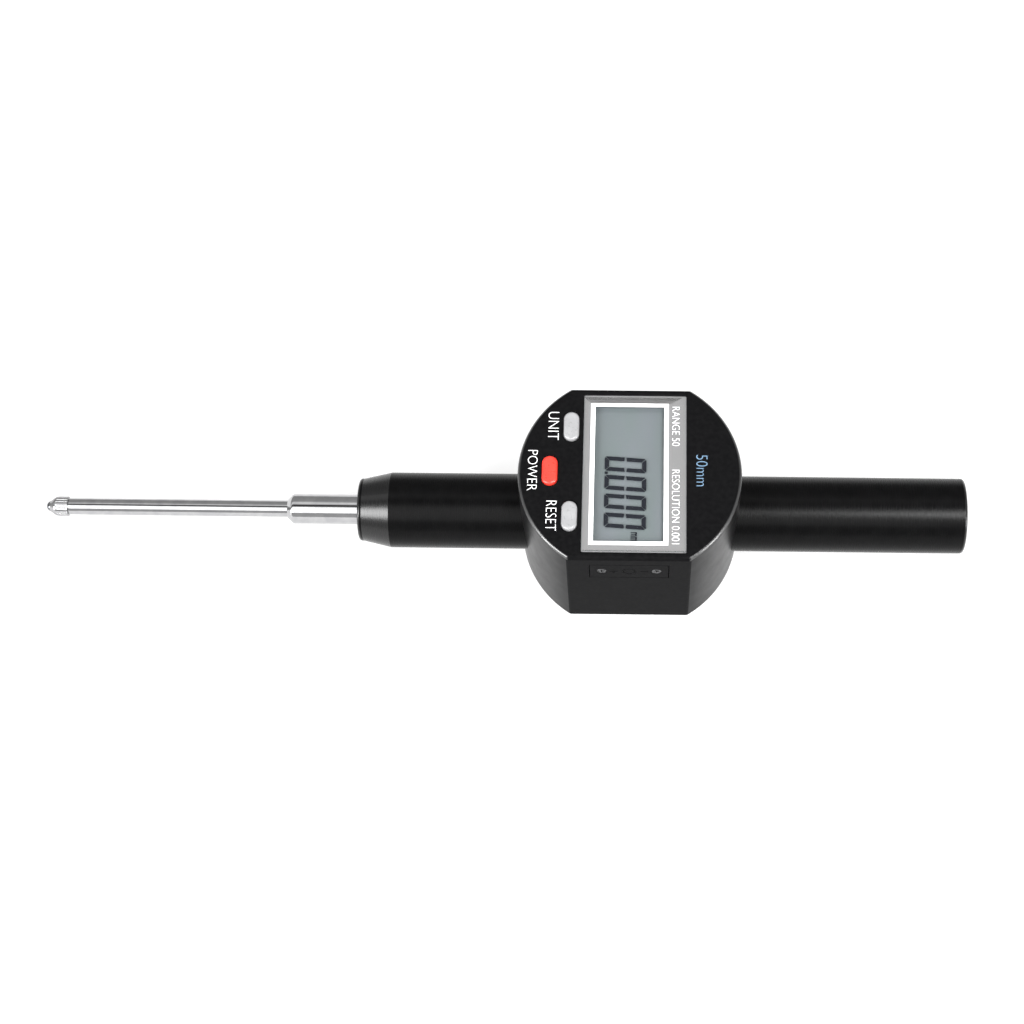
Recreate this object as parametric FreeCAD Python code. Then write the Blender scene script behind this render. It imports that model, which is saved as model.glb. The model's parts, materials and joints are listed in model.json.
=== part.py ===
"""Electronic indicator with a 50 mm plunger, lying on the back of its case.

Units are millimetres. The origin is on the spindle's axis, where the clamping stem meets the front
sleeve. +X runs along the axis to the closed end of the rear tube, so the contact point lies
towards -X. +Z comes out of the display, and Y runs along the display.
"""
import FreeCAD, Part
import math
import os

V = FreeCAD.Vector
X_AXIS = V(1, 0, 0)
Y_AXIS = V(0, 1, 0)
Z_AXIS = V(0, 0, 1)

# Case: a round body with two flats
CASE_X = 71.85           # centre of the case along the axis
CASE_R = 28.85
CASE_FLAT = 24.3         # axis to each flat
CASE_CORNER = 1.2        # rounding where flat and curve meet
FACE_Z = 24.2            # front face above the spindle's axis
BACK_Z = -12.8           # back of the case
FACE_ROUND = 1.1
BACK_CHAMFER = 0.4
SIDE_WALL = 3.0
FRONT_WALL = 2.4
INSIDE_Z = FACE_Z - FRONT_WALL

# Rear cover
COVER_THICK = 1.5
COVER_INSET = 2.0        # outer wall of the case left around the cover
GASKET = 0.5
LEDGE_Z = BACK_Z + COVER_THICK + GASKET
COVER_SCREW_X = 13.5
COVER_SCREW_Y = 19.2
COVER_POST_R = 2.4
COVER_POST_TOP = 6.0
COVER_SCREW_R = 1.0
COVER_SCREW_TIP = BACK_Z + 8.5

# Tubes on both sides of the case
TUBE_R = 10.0
TUBE_BORE_R = 7.4
SPIGOT_R = 8.8
SPIGOT_START = 26.2      # shoulder of each tube, from the centre of the case
SPIGOT_END = 20.0
BOSS_R = 12.5
NOSE_R = 8.3             # small end of the front taper
TAPER_START = 1.1
TAPER_END = 8.45
NOSE_WALL = 12.0
REAR_END = 160.6
REAR_WALL = 2.5
RING_GROOVE_R = 8.05
RING_GROOVE_HALF = 0.6
RING_WIRE_R = 0.37
RING_OFFSET = 1.2        # seal groove from the shoulder
SET_SCREW_OFFSET = 22.1
SET_SCREW_R = 1.0

# Stem and its bushes
STEM_R = 4.0
STEM_LENGTH = 19.2
STEM_CHAMFER = 1.4
STEM_ROUND = 1.0
STEM_SHANK_R = 3.6       # pressed length inside the sleeve
STEM_BORE_R = 2.9
STEM_LIP = 1.2           # narrow front end that holds the wiper
STEM_LIP_R = 2.4
BUSH_BORE_R = 2.28
BUSH_LENGTH = 10.0
WIPER_LENGTH = 1.7

# Spindle, contact point and what travels with them
TRAVEL = 50.8
SPINDLE_R = 2.25
SPINDLE_FRONT = -77.35
SPINDLE_TAIL = 103.65
STUD_R = 1.25
STUD_LENGTH = 5.0
BALL_R = 1.5
BALL_X = -82.17
CONE_FRONT = -82.7
CONE_R = 1.38            # rim around the ball
COLLAR_R = 2.6
COLLAR_FRONT = -81.0
COLLAR_REAR = -77.7
COLLAR_BLEND = 2.2       # rounding between cone and collar
NECK_R = 2.0
FLUTES = 24
FLUTE_R = 0.22
FLUTE_DEPTH = 0.11
CARRIER_FRONT = 13.25
CARRIER_REAR = 81.85
CARRIER_HALF = 4.5
CARRIER_BOTTOM = -3.2
CARRIER_TOP = 4.2
SCALE_THICK = 1.0
SCALE_HALF = 4.0
CARRIER_SCREW_R = 0.9
FORK_LENGTH = 6.0
FORK_HALF = 2.2
FORK_BOTTOM = -6.9

# Guide rod and return spring
GUIDE_ROD_R = 1.0
GUIDE_ROD_Z = -6.0
GUIDE_GAP = 0.04
ROD_SOCKET_FRONT = 4.0   # how far the rod goes into the sleeve
ROD_SOCKET_REAR = 3.0
BUMPER_R = 2.5
SPRING_SEAT = 151.55
SPRING_R = 2.95
SPRING_WIRE_R = 0.25
PLUG_REAR = REAR_END - REAR_WALL

# Display, given from the centre of the case; depths are below the front face
WINDOW = (-12.07, 14.48, -22.4, 22.4)
VIEW = (-9.15, 8.75, -19.2, 19.2)
WINDOW_POCKET = 0.45
WINDOW_PROUD = 0.3
FILM = 0.1
APERTURE = (-11.0, 12.0, -21.2, 21.2)
GLASS = (-10.2, 11.6, -20.6, 20.6)
GLASS_LEDGE = 2.0        # front glass beyond the rear glass, for the contacts
GLASS_THICK = 1.1
POLARISER_DEPTH = 2.0
POLARISER = 0.2
REFLECTOR = 0.15

# Circuit board
BOARD_TOP = FACE_Z - 5.0
BOARD_THICK = 1.0
BOARD_BOTTOM = BOARD_TOP - BOARD_THICK
BOARD_GAP = 0.4
BOARD_BOSS_R = 1.6
BOARD_SCREW_R = 0.8
BOARD_SCREWS = [(-20.8, -9.5), (-20.8, 9.5), (18.5, -13.0), (18.5, 13.0)]

# Keys: centre, width, length
KEYS = {
    "key_unit": (-15.26, 12.98, 4.0, 8.2),
    "key_power": (-20.58, 0.2, 4.0, 8.2),
    "key_zero": (-15.28, -12.54, 4.0, 8.2),
}
KEY_PROUD = 0.9
KEY_ROUND = 0.7
KEY_NIB_R = 1.0
KEY_GAP = 0.2
KEY_FLANGE = 0.6
KEY_LIP = 0.6
KEY_TRAVEL = 0.4
DOME_HEIGHT = 0.3

# Battery behind a door in the lower flat
DOOR_X = CASE_X + 0.1
DOOR_Z = 16.5
DOOR_WIDTH = 20.0
DOOR_HEIGHT = 7.4
DOOR_GAP = 0.2
DOOR_THICK = 1.4
DOOR_GASKET = 0.3
DOOR_SCREW_PITCH = 14.0
DOOR_SEAT_HALF = 9.2     # thicker wall behind the door
DOOR_SEAT_LOW = 12.9
DOOR_SEAT_HIGH = 18.6
DOOR_HEAD_R = 1.4
DOOR_HEAD_DEPTH = 0.7
DOOR_SCREW_R = 0.7
DOOR_SCREW_TIP = -19.9
MARK_DEPTH = 0.15
CELL_R = 5.8
CELL_Y = -15.4
CELL_BOTTOM = 13.4
CELL_HEIGHT = 5.4
CONTACT_THICK = 0.2

# Sensor board over the scale
READER = (-8.0, 8.0, -7.0, 7.0)
READER_GAP = 0.15
READER_THICK = 1.2


def box(x0, x1, y0, y1, z0, z1):
    return Part.makeBox(x1 - x0, y1 - y0, z1 - z0, V(x0, y0, z0))


def case_box(area, z0, z1, grow=0.0):
    """A plate over (x0, x1, y0, y1), measured from the centre of the case."""
    x0, x1, y0, y1 = area
    return box(CASE_X + x0 - grow, CASE_X + x1 + grow, y0 - grow, y1 + grow, z0, z1)


def bar_x(radius, x0, x1, y=0.0, z=0.0):
    return Part.makeCylinder(radius, x1 - x0, V(x0, y, z), X_AXIS)


def bar_y(radius, y0, y1, x, z):
    return Part.makeCylinder(radius, y1 - y0, V(x, y0, z), Y_AXIS)


def bar_z(radius, z0, z1, x, y):
    return Part.makeCylinder(radius, z1 - z0, V(x, y, z0), Z_AXIS)


def ring_x(outer, inner, x0, x1):
    return bar_x(outer, x0, x1).cut(bar_x(inner, x0, x1))


def turned(profile):
    """A solid of revolution about the X axis from its (x, radius) outline."""
    points = [V(x, 0, r) for x, r in profile]
    face = Part.Face(Part.makePolygon(points + points[:1]))
    return face.revolve(V(0, 0, 0), X_AXIS, 360)


def fused(first, *others):
    return first.fuse(list(others)).removeSplitter()


def round_rims(solid, size, rims):
    """Round the circular edges that lie at the given (x, radius) places."""
    chosen = []
    for edge in solid.Edges:
        if isinstance(edge.Curve, Part.Circle):
            x, r = edge.Curve.Center.x, edge.Curve.Radius
            if any(abs(x - rx) < 1e-4 and abs(r - rr) < 1e-4 for rx, rr in rims):
                chosen.append(edge)
    return solid.makeFillet(size, chosen)


def edges_at_z(solid, z):
    return [e for e in solid.Edges if abs(e.BoundBox.ZMin - z) < 1e-4 and abs(e.BoundBox.ZMax - z) < 1e-4]


def upright_edges(solid):
    height = solid.BoundBox.ZLength
    return [e for e in solid.Edges if len(e.Vertexes) == 2 and e.BoundBox.ZLength > 0.9 * height]


def case_plate(inset, z0, z1, corner=CASE_CORNER):
    """The case's outline, moved in by a wall thickness."""
    half = CASE_FLAT - inset
    radius = CASE_R - inset
    disc = bar_z(radius, z0, z1, CASE_X, 0)
    plate = disc.common(box(CASE_X - radius, CASE_X + radius, -half, half, z0, z1))
    return plate.makeFillet(corner, upright_edges(plate))


def obround(x, y, width, length, z0, z1):
    """A plate with round ends, its length along Y."""
    half = (length - width) / 2
    middle = box(x - width / 2, x + width / 2, y - half, y + half, z0, z1)
    ends = [bar_z(width / 2, z0, z1, x, y + side * half) for side in (-1, 1)]
    return fused(middle, *ends)


def mirrored_pairs(x, y):
    return [(sx * x, sy * y) for sx in (-1, 1) for sy in (-1, 1)]


# ---------------------------------------------------------------- case

def tube_bosses():
    """Solid rings inside the case that take the spigots of the two tubes."""
    rings = []
    for side in (-1, 1):
        near, far = sorted((CASE_X + side * SPIGOT_END, CASE_X + side * (SPIGOT_START + 0.8)))
        ring = bar_x(BOSS_R, near, far)
        rings.append(ring.common(case_plate(1.0, LEDGE_Z, INSIDE_Z)))
    return rings


def tube_bores():
    cuts = []
    for side in (-1, 1):
        inner, shoulder = CASE_X + side * (SPIGOT_END - 1), CASE_X + side * SPIGOT_START
        outside = CASE_X + side * (CASE_R + 1)
        cuts.append(bar_x(SPIGOT_R, *sorted((inner, shoulder))))
        cuts.append(bar_x(TUBE_R, *sorted((shoulder, outside))))
    return cuts


def cover_posts():
    low = BACK_Z + COVER_THICK
    return [bar_z(COVER_POST_R, low, COVER_POST_TOP, CASE_X + x, y)
            for x, y in mirrored_pairs(COVER_SCREW_X, COVER_SCREW_Y)]


def door_seat():
    """Thicker wall behind the battery door, for its screws."""
    inner = CASE_FLAT - SIDE_WALL
    return box(DOOR_X - DOOR_SEAT_HALF, DOOR_X + DOOR_SEAT_HALF, -inner - 0.5, 1.5 - inner,
               DOOR_SEAT_LOW, DOOR_SEAT_HIGH)


def door_pocket(grow):
    half_w, half_h = DOOR_WIDTH / 2 + grow, DOOR_HEIGHT / 2 + grow
    floor = DOOR_THICK + DOOR_GASKET - CASE_FLAT
    return box(DOOR_X - half_w, DOOR_X + half_w, -CASE_FLAT - 1, floor, DOOR_Z - half_h, DOOR_Z + half_h)


def cell_opening():
    return box(DOOR_X - CELL_R - 0.1, DOOR_X + CELL_R + 0.1, -CASE_FLAT - 1, 2 - CASE_FLAT + SIDE_WALL,
               CELL_BOTTOM - 0.2, CELL_BOTTOM + CELL_HEIGHT + 0.2)


def door_screw_places():
    return [DOOR_X - DOOR_SCREW_PITCH / 2, DOOR_X + DOOR_SCREW_PITCH / 2]


def front_case():
    outer = case_plate(0.0, BACK_Z, FACE_Z)
    outer = outer.makeFillet(FACE_ROUND, edges_at_z(outer, FACE_Z))
    outer = outer.makeChamfer(BACK_CHAMFER, edges_at_z(outer, BACK_Z))
    shell = outer.cut(case_plate(SIDE_WALL, BACK_Z - 1, INSIDE_Z))
    shell = shell.cut(case_plate(COVER_INSET, BACK_Z - 1, LEDGE_Z))
    screw_bosses = [bar_z(BOARD_BOSS_R, BOARD_TOP, INSIDE_Z, CASE_X + x, y) for x, y in BOARD_SCREWS]
    shell = fused(shell, door_seat(), *tube_bosses(), *cover_posts(), *screw_bosses)
    cuts = tube_bores()
    cuts.append(case_box(WINDOW, FACE_Z - WINDOW_POCKET, FACE_Z + 1, 0.05))
    cuts.append(case_box(APERTURE, INSIDE_Z - 1, FACE_Z))
    for x, y, width, length in KEYS.values():
        hole = obround(CASE_X + x, y, width + 2 * KEY_GAP, length + 2 * KEY_GAP, INSIDE_Z - 1, FACE_Z + 1)
        cuts.append(hole)
    cuts += [door_pocket(DOOR_GAP), cell_opening()]
    cuts += [bar_y(DOOR_SCREW_R, -CASE_FLAT, DOOR_SCREW_TIP, x, DOOR_Z) for x in door_screw_places()]
    cuts += [bar_z(COVER_SCREW_R, BACK_Z, COVER_SCREW_TIP + 1, CASE_X + x, y) for x, y in
             mirrored_pairs(COVER_SCREW_X, COVER_SCREW_Y)]
    cuts += [bar_z(BOARD_SCREW_R, BOARD_TOP - 1, BOARD_TOP + 2, CASE_X + x, y) for x, y in BOARD_SCREWS]
    cuts += [bar_z(SET_SCREW_R, LEDGE_Z - 1, -SPIGOT_R + 0.3, x, 0) for x in set_screw_places()]
    return shell.cut(cuts)


def rear_cover():
    plate = case_plate(COVER_INSET + 0.05, BACK_Z, BACK_Z + COVER_THICK)
    for x, y in mirrored_pairs(COVER_SCREW_X, COVER_SCREW_Y):
        plate = plate.cut(bar_z(1.05, BACK_Z, LEDGE_Z, CASE_X + x, y))
        sink = Part.makeCone(2.05, 1.05, 1.0, V(CASE_X + x, y, BACK_Z), Z_AXIS)
        plate = plate.cut(sink)
    return plate


def cover_gasket():
    ring = case_plate(COVER_INSET + 0.1, BACK_Z + COVER_THICK, LEDGE_Z)
    ring = ring.cut(case_plate(SIDE_WALL, BACK_Z, LEDGE_Z + 1))
    for x, y in mirrored_pairs(COVER_SCREW_X, COVER_SCREW_Y):
        ring = ring.cut(bar_z(COVER_POST_R, BACK_Z, LEDGE_Z + 1, CASE_X + x, y))
    return ring


def cross_recess_z(x, y, z, half, depth):
    """Cross slot cut upwards from height z."""
    arm_x = box(x - half, x + half, y - 0.18, y + 0.18, z, z + depth)
    arm_y = box(x - 0.18, x + 0.18, y - half, y + half, z, z + depth)
    return arm_x.fuse(arm_y)


def cover_screws():
    screws = []
    for dx, y in mirrored_pairs(COVER_SCREW_X, COVER_SCREW_Y):
        x = CASE_X + dx
        head = Part.makeCone(2.0, 1.0, 1.0, V(x, y, BACK_Z + 0.05), Z_AXIS)
        shank = bar_z(COVER_SCREW_R, BACK_Z + 1.0, COVER_SCREW_TIP, x, y)
        screws.append(fused(head, shank).cut(cross_recess_z(x, y, BACK_Z, 1.1, 0.6)))
    return Part.makeCompound(screws)


# ---------------------------------------------------------------- display

def display_window():
    """Clear front window with bevelled edges, glued into a shallow pocket."""
    low = FACE_Z - WINDOW_POCKET + FILM
    window = case_box(WINDOW, low, FACE_Z + WINDOW_PROUD)
    window = window.makeFillet(0.4, upright_edges(window))
    return window.makeChamfer(0.25, edges_at_z(window, FACE_Z + WINDOW_PROUD))


def label_film():
    """Printed border under the window."""
    low = FACE_Z - WINDOW_POCKET
    film = case_box(WINDOW, low, low + FILM)
    film = film.makeFillet(0.4, upright_edges(film))
    return film.cut(case_box(VIEW, low - 1, low + 1))


def glass_levels():
    top = FACE_Z - POLARISER_DEPTH - POLARISER
    middle = top - GLASS_THICK
    bottom = middle - GLASS_THICK
    return top, middle, bottom


def rear_glass_area():
    x0, x1, y0, y1 = GLASS
    return x0, x1 - GLASS_LEDGE, y0, y1


def zebra_area():
    x0, x1, y0, y1 = GLASS
    return x1 - GLASS_LEDGE + 0.2, x1 - 0.2, y0 + 0.9, y1 - 0.9


def lcd_polariser():
    top = glass_levels()[0]
    return case_box(rear_glass_area(), top, top + POLARISER, -0.3)


def lcd_front_glass():
    top, middle, _ = glass_levels()
    return case_box(GLASS, middle, top)


def lcd_rear_glass():
    _, middle, bottom = glass_levels()
    return case_box(rear_glass_area(), bottom, middle)


def lcd_reflector():
    bottom = glass_levels()[2]
    return case_box(rear_glass_area(), bottom - REFLECTOR, bottom, -0.3)


def lcd_frame():
    top, middle, bottom = glass_levels()
    frame = case_box(APERTURE, BOARD_TOP, top, -0.1)
    frame = frame.cut(case_box(GLASS, middle, top + 1))
    frame = frame.cut(case_box(rear_glass_area(), bottom - REFLECTOR, middle + 1))
    return frame.cut(case_box(zebra_area(), BOARD_TOP - 1, middle + 1))


def zebra_strip():
    """Striped rubber that joins the display to the circuit board."""
    return case_box(zebra_area(), BOARD_TOP, glass_levels()[1])


# ---------------------------------------------------------------- electronics

def main_pcb():
    board = case_plate(SIDE_WALL + BOARD_GAP, BOARD_BOTTOM, BOARD_TOP)
    notch = DOOR_SEAT_HALF + 0.2
    low, high = BOARD_BOTTOM - 1, BOARD_TOP + 1
    board = board.cut(box(DOOR_X - notch, DOOR_X + notch, -CASE_FLAT, -8.0, low, high))
    for x, y in BOARD_SCREWS:
        board = board.cut(bar_z(BOARD_SCREW_R + 0.05, low, high, CASE_X + x, y))
    return board


def pcb_components():
    """Measuring chip, quartz, and a row of capacitors under the board."""
    parts = [case_box((10.6, 18.6, -4.0, 4.0), BOARD_BOTTOM - 1.4, BOARD_BOTTOM)]
    parts.append(case_box((11.0, 13.0, 7.0, 13.0), BOARD_BOTTOM - 1.8, BOARD_BOTTOM))
    for index in range(4):
        y = -14.0 + 2.2 * index
        parts.append(case_box((12.0, 14.0, y, y + 1.2), BOARD_BOTTOM - 0.9, BOARD_BOTTOM))
    for index in range(3):
        y = 9.0 + 2.2 * index
        parts.append(case_box((-14.0, -12.0, y, y + 1.2), BOARD_BOTTOM - 0.9, BOARD_BOTTOM))
    return Part.makeCompound(parts)


def pcb_screws():
    screws = []
    for dx, y in BOARD_SCREWS:
        x = CASE_X + dx
        head = bar_z(1.4, BOARD_BOTTOM - 0.9, BOARD_BOTTOM, x, y)
        shank = bar_z(BOARD_SCREW_R, BOARD_BOTTOM, BOARD_TOP + 1.8, x, y)
        slot = cross_recess_z(x, y, BOARD_BOTTOM - 0.9, 0.8, 0.4)
        screws.append(fused(head, shank).cut(slot))
    return Part.makeCompound(screws)


def reader_pcb():
    low = CARRIER_TOP + SCALE_THICK + READER_GAP
    return case_box(READER, low, low + READER_THICK)


def reader_bracket():
    """Two upright plates on a foot ring, hanging the sensor board under the main board."""
    x0, x1, y0, y1 = READER
    low = CARRIER_TOP + SCALE_THICK + READER_GAP + READER_THICK
    block = case_box(READER, low, BOARD_BOTTOM)
    middle = case_box((x0 - 1, x1 + 1, y0 + 1.5, y1 - 1.5), low + 1.5, BOARD_BOTTOM + 1)
    window = case_box((x0 + 2, x1 - 2, y0 + 1.5, y1 - 1.5), low - 1, low + 3)
    return block.cut([middle, window])


def ribbon_cable():
    """Flat lead from the sensor board up to the main board."""
    x1 = READER[1]
    z = CARRIER_TOP + SCALE_THICK + READER_GAP + 0.4
    foot = case_box((x1, x1 + 1.6, -3.5, 3.5), z, z + 0.3)
    rise = case_box((x1 + 1.3, x1 + 1.6, -3.5, 3.5), z, BOARD_BOTTOM)
    return fused(foot, rise)


# ---------------------------------------------------------------- keys

def key(name):
    """Domed cap, flange behind the face, and the nib that presses the dome."""
    x, y, width, length = KEYS[name]
    x += CASE_X
    cap = obround(x, y, width, length, INSIDE_Z, FACE_Z + KEY_PROUD)
    cap = cap.makeFillet(KEY_ROUND, edges_at_z(cap, FACE_Z + KEY_PROUD))
    flange = obround(x, y, width + 2 * KEY_LIP, length + 2 * KEY_LIP, INSIDE_Z - KEY_FLANGE, INSIDE_Z)
    nib = bar_z(KEY_NIB_R, BOARD_TOP + DOME_HEIGHT + KEY_TRAVEL, INSIDE_Z - KEY_FLANGE, x, y)
    return fused(cap, flange, nib)


def key_domes():
    domes = []
    for x, y, _, _ in KEYS.values():
        domes.append(Part.makeCone(2.0, 1.0, DOME_HEIGHT, V(CASE_X + x, y, BOARD_TOP), Z_AXIS))
    return Part.makeCompound(domes)


def keypad_seal():
    """Rubber sheet around the key flanges, flat against the inside of the face."""
    low = INSIDE_Z - KEY_FLANGE
    sheet = case_plate(SIDE_WALL + 0.5, low, INSIDE_Z)
    sheet = sheet.common(case_box((-CASE_R, -11.2, -CASE_R, CASE_R), low, INSIDE_Z))
    for x, y, width, length in KEYS.values():
        grow = 2 * KEY_LIP + 0.3
        sheet = sheet.cut(obround(CASE_X + x, y, width + grow, length + grow, low - 1, INSIDE_Z + 1))
    for x, y in BOARD_SCREWS[:2]:
        sheet = sheet.cut(bar_z(BOARD_BOSS_R + 0.1, low - 1, INSIDE_Z + 1, CASE_X + x, y))
    return sheet


# ---------------------------------------------------------------- battery

def battery_cell():
    """Button cell, its wide positive face towards the display."""
    top = CELL_BOTTOM + CELL_HEIGHT
    can = bar_z(CELL_R, CELL_BOTTOM + 0.9, top, DOOR_X, CELL_Y)
    can = can.makeFillet(0.4, edges_at_z(can, top))
    cap = bar_z(CELL_R - 0.8, CELL_BOTTOM, CELL_BOTTOM + 0.9, DOOR_X, CELL_Y)
    return fused(can, cap)


def battery_contact_negative():
    strip = box(DOOR_X - 1.5, DOOR_X + 1.5, -17.5, -7.8, CELL_BOTTOM - CONTACT_THICK, CELL_BOTTOM)
    leg = box(DOOR_X - 1.5, DOOR_X + 1.5, -8.0, -7.8, CELL_BOTTOM - CONTACT_THICK, BOARD_BOTTOM)
    return fused(strip, leg)


def battery_contact_positive():
    top = CELL_BOTTOM + CELL_HEIGHT
    return box(DOOR_X - 2.0, DOOR_X + 2.0, -18.0, -8.0, top, top + CONTACT_THICK)


def battery_holder():
    top = CELL_BOTTOM + CELL_HEIGHT
    floor = CELL_BOTTOM - CONTACT_THICK
    holder = box(DOOR_X - 7.4, DOOR_X + 7.4, -19.7, -8.1, floor - 1.0, top)
    reach = CELL_R + 0.1
    well = bar_z(reach, floor, top + 1, DOOR_X, CELL_Y)
    mouth = box(DOOR_X - reach, DOOR_X + reach, -20.0, CELL_Y, floor, top + 1)
    return holder.cut([well, mouth, battery_contact_negative()])


def battery_door():
    outside = -CASE_FLAT
    inside = outside + DOOR_THICK
    half_w, half_h = DOOR_WIDTH / 2, DOOR_HEIGHT / 2
    door = box(DOOR_X - half_w, DOOR_X + half_w, outside, inside, DOOR_Z - half_h, DOOR_Z + half_h)
    plug = box(DOOR_X - 5.6, DOOR_X + 5.6, inside, CELL_Y - CELL_R - 0.1,
               CELL_BOTTOM + 0.1, DOOR_SEAT_HIGH)
    door = fused(door, plug)
    for x in door_screw_places():
        hole = bar_y(DOOR_SCREW_R + 0.05, outside - 1, inside + 1, x, DOOR_Z)
        head_seat = bar_y(DOOR_HEAD_R, outside, outside + DOOR_HEAD_DEPTH, x, DOOR_Z)
        door = door.cut([hole, head_seat])
    return door.cut(door_marks(outside))


def door_marks(outside):
    """Engraved polarity marks: a bar, a plus and the ring of the cell between them."""
    deep = outside + MARK_DEPTH
    bar = box(DOOR_X + 2.9, DOOR_X + 4.9, outside - 1, deep, DOOR_Z - 0.15, DOOR_Z + 0.15)
    plus_a = box(DOOR_X - 4.9, DOOR_X - 2.9, outside - 1, deep, DOOR_Z - 0.15, DOOR_Z + 0.15)
    plus_b = box(DOOR_X - 4.05, DOOR_X - 3.75, outside - 1, deep, DOOR_Z - 1.0, DOOR_Z + 1.0)
    ring = bar_y(1.7, outside - 1, deep, DOOR_X, DOOR_Z).cut(bar_y(1.4, outside - 1, deep, DOOR_X, DOOR_Z))
    return [bar, plus_a, plus_b, ring]


def door_gasket():
    floor = -CASE_FLAT + DOOR_THICK
    half_w, half_h = DOOR_WIDTH / 2 - 0.3, DOOR_HEIGHT / 2 - 0.2
    sheet = box(DOOR_X - half_w, DOOR_X + half_w, floor, floor + DOOR_GASKET,
                DOOR_Z - half_h, DOOR_Z + half_h)
    sheet = sheet.cut(cell_opening())
    for x in door_screw_places():
        sheet = sheet.cut(bar_y(DOOR_SCREW_R + 0.05, floor - 1, floor + 1, x, DOOR_Z))
    return sheet


def door_screws():
    screws = []
    outside = -CASE_FLAT + 0.05
    for x in door_screw_places():
        under_head = outside + DOOR_HEAD_DEPTH - 0.05
        head = bar_y(DOOR_HEAD_R - 0.1, outside, under_head, x, DOOR_Z)
        head = head.makeFillet(0.2, [e for e in head.Edges if abs(e.BoundBox.YMax - outside) < 1e-4])
        shank = bar_y(DOOR_SCREW_R, under_head, DOOR_SCREW_TIP - 0.1, x, DOOR_Z)
        arm_x = box(x - 0.8, x + 0.8, outside, outside + 0.4, DOOR_Z - 0.14, DOOR_Z + 0.14)
        arm_z = box(x - 0.14, x + 0.14, outside, outside + 0.4, DOOR_Z - 0.8, DOOR_Z + 0.8)
        screws.append(fused(head, shank).cut([arm_x, arm_z]))
    return Part.makeCompound(screws)


# ---------------------------------------------------------------- tubes and stem

def ring_places():
    """Middle of the seal groove on each spigot."""
    return [CASE_X - SPIGOT_START + RING_OFFSET, CASE_X + SPIGOT_START - RING_OFFSET]


def set_screw_places():
    return [CASE_X - SET_SCREW_OFFSET, CASE_X + SET_SCREW_OFFSET]


def groove(x):
    return ring_x(SPIGOT_R + 1, RING_GROOVE_R, x - RING_GROOVE_HALF, x + RING_GROOVE_HALF)


def front_sleeve():
    shoulder, end = CASE_X - SPIGOT_START, CASE_X - SPIGOT_END
    profile = [
        (0.0, STEM_SHANK_R), (0.0, NOSE_R), (TAPER_START, NOSE_R), (TAPER_END, TUBE_R),
        (shoulder, TUBE_R), (shoulder, SPIGOT_R), (end, SPIGOT_R), (end, TUBE_BORE_R),
        (NOSE_WALL, TUBE_BORE_R), (NOSE_WALL, STEM_SHANK_R),
    ]
    sleeve = round_rims(turned(profile), 0.7, [(0.0, NOSE_R)])
    rod_hole = bar_x(GUIDE_ROD_R, NOSE_WALL - ROD_SOCKET_FRONT, NOSE_WALL + 1, 0, GUIDE_ROD_Z)
    return sleeve.cut([rod_hole, groove(ring_places()[0])])


def rear_tube():
    shoulder, start = CASE_X + SPIGOT_START, CASE_X + SPIGOT_END
    profile = [
        (start, TUBE_BORE_R), (start, SPIGOT_R), (shoulder, SPIGOT_R), (shoulder, TUBE_R),
        (REAR_END, TUBE_R), (REAR_END, 0.0), (PLUG_REAR, 0.0), (PLUG_REAR, TUBE_BORE_R),
    ]
    tube = round_rims(turned(profile), 0.8, [(REAR_END, TUBE_R)])
    return tube.cut(groove(ring_places()[1]))


def tube_o_rings():
    rings = []
    for x in ring_places():
        rings.append(Part.makeTorus(SPIGOT_R - RING_WIRE_R, RING_WIRE_R, V(x, 0, 0), X_AXIS))
    return Part.makeCompound(rings)


def tube_set_screws():
    screws = []
    for x in set_screw_places():
        screw = bar_z(SET_SCREW_R, LEDGE_Z, -SPIGOT_R, x, 0)
        screws.append(screw.cut(box(x - 0.9, x + 0.9, -0.15, 0.15, LEDGE_Z, LEDGE_Z + 0.6)))
    return Part.makeCompound(screws)


def stem():
    front, shoulder = -STEM_LENGTH, STEM_CHAMFER - STEM_LENGTH
    profile = [
        (front, STEM_LIP_R), (front, STEM_R - STEM_CHAMFER), (shoulder, STEM_R), (0.0, STEM_R),
        (0.0, STEM_SHANK_R), (NOSE_WALL, STEM_SHANK_R), (NOSE_WALL, STEM_BORE_R),
        (front + STEM_LIP, STEM_BORE_R), (front + STEM_LIP, STEM_LIP_R),
    ]
    return round_rims(turned(profile), STEM_ROUND, [(shoulder, STEM_R)])


def rear_plug():
    """Spring seat pressed into the closed end of the rear tube."""
    plug = bar_x(TUBE_BORE_R, SPRING_SEAT, PLUG_REAR)
    recess = bar_x(BUMPER_R, SPRING_SEAT - 1, SPRING_SEAT + 4)
    rod_hole = bar_x(GUIDE_ROD_R, SPRING_SEAT - 1, SPRING_SEAT + ROD_SOCKET_REAR, 0, GUIDE_ROD_Z)
    return plug.cut([recess, rod_hole])


def return_spring():
    """The space that the coil of the compression spring takes, between the carrier and the rear plug."""
    return ring_x(SPRING_R + SPRING_WIRE_R, SPRING_R - SPRING_WIRE_R, CARRIER_REAR, SPRING_SEAT)


# ---------------------------------------------------------------- travelling parts

def spindle():
    bar = bar_x(SPINDLE_R, SPINDLE_FRONT, SPINDLE_TAIL)
    tail_rim = [e for e in bar.Edges if abs(e.BoundBox.XMin - SPINDLE_TAIL) < 1e-4]
    bar = bar.makeChamfer(0.3, tail_rim)
    return bar.cut(bar_x(STUD_R, SPINDLE_FRONT, SPINDLE_FRONT + STUD_LENGTH + 0.2))


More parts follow.
